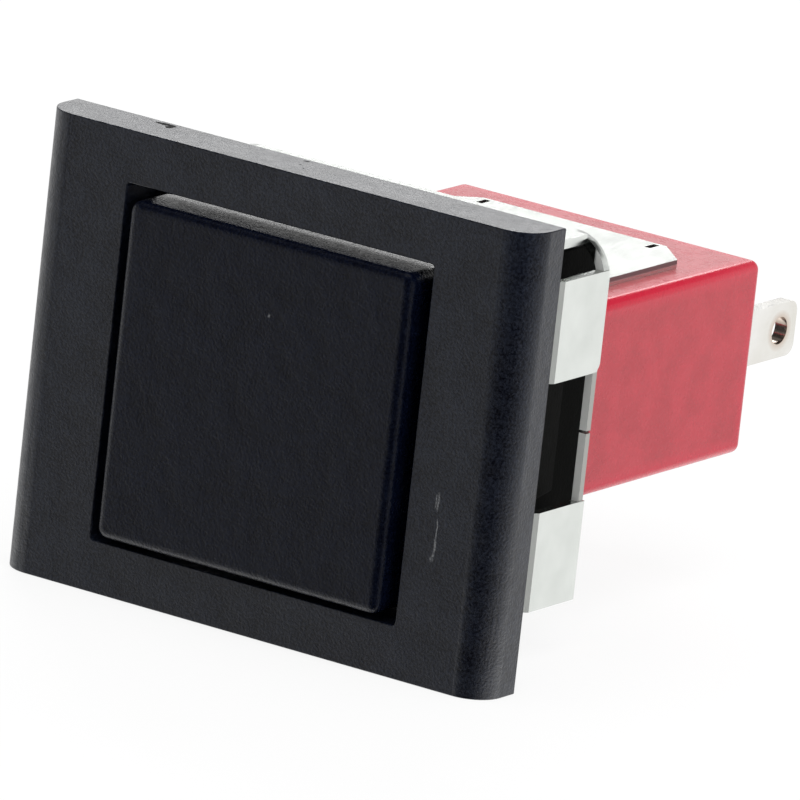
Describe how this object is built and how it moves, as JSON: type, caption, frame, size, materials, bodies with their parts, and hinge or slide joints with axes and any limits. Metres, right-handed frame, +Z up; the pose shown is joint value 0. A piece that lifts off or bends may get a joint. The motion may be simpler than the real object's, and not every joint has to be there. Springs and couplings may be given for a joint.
{
  "type": "pushbutton switch",
  "caption": "Snap-in panel pushbutton switch: square momentary button in a black bezel, folded steel bracket, red case and flat solder terminals.",
  "frame": {"origin": "middle of the panel plane: the centre of the square button opening, on the plane of the bezel's rear face", "axes": "+X to the right seen from the front, +Y rearwards into the panel along the button's travel, +Z up"},
  "size_m": [0.0202, 0.0262, 0.0164],
  "materials": {
    "black_frame": "fine moulded matt",
    "black_cap": "fine moulded matt",
    "spring_steel": "bright plated spring sheet",
    "red_case": "semi-gloss moulded",
    "black_cover": "moulded",
    "seal_rubber": "smooth",
    "washer_steel": "plain",
    "white_plunger": "moulded",
    "white_follower": "moulded",
    "spring_wire": "drawn wire",
    "contact_copper": "rolled strip",
    "silver_point": "polished",
    "plated_terminal": "bright plated",
    "potting": "cast resin"
  },
  "bodies": {
    "housing": {"bezel": "black_frame", "snap_bracket": "spring_steel", "switch_case": "red_case", "case_cover": "black_cover", "plunger_seal": "seal_rubber", "spring_washer": "washer_steel", "return_spring": "spring_wire", "contact_spring": "spring_wire", "reset_spring": "spring_wire", "fixed_point_open": "silver_point", "fixed_point_closed": "silver_point", "terminal_normally_open": "plated_terminal", "terminal_normally_closed": "plated_terminal", "terminal_common": "plated_terminal", "terminal_seal": "potting"},
    "button": {"button_cap": "black_cap", "plunger": "white_plunger"},
    "follower": {"spring_follower": "white_follower"},
    "rocker": {"rocker_contact": "contact_copper", "moving_point_open": "silver_point", "moving_point_closed": "silver_point"}
  },
  "joints": [
    {"name": "button_press", "type": "slide", "parent": "housing", "child": "button", "axis": [0, 1, 0], "range_m": [0, 0.0018], "stiffness_N_per_m": 500, "springref_m": -0.0015, "deforming": ["return_spring", "contact_spring"]},
    {"name": "follower_slide", "type": "slide", "parent": "housing", "child": "follower", "axis": [0, 1, 0], "range_m": [0, 0.0002699]},
    {"name": "rocker_tilt", "type": "hinge", "parent": "housing", "child": "rocker", "pos_m": [0, 0.01495, 0], "axis": [0, 0, 1], "range_deg": [0, 11], "deforming": ["reset_spring"]}
  ],
  "couplings": [
    {"joint": "follower_slide", "follows": "button_press", "ratio": 0.14978},
    {"joint": "rocker_tilt", "follows": "button_press", "rad_per_m": 106.65}
  ]
}
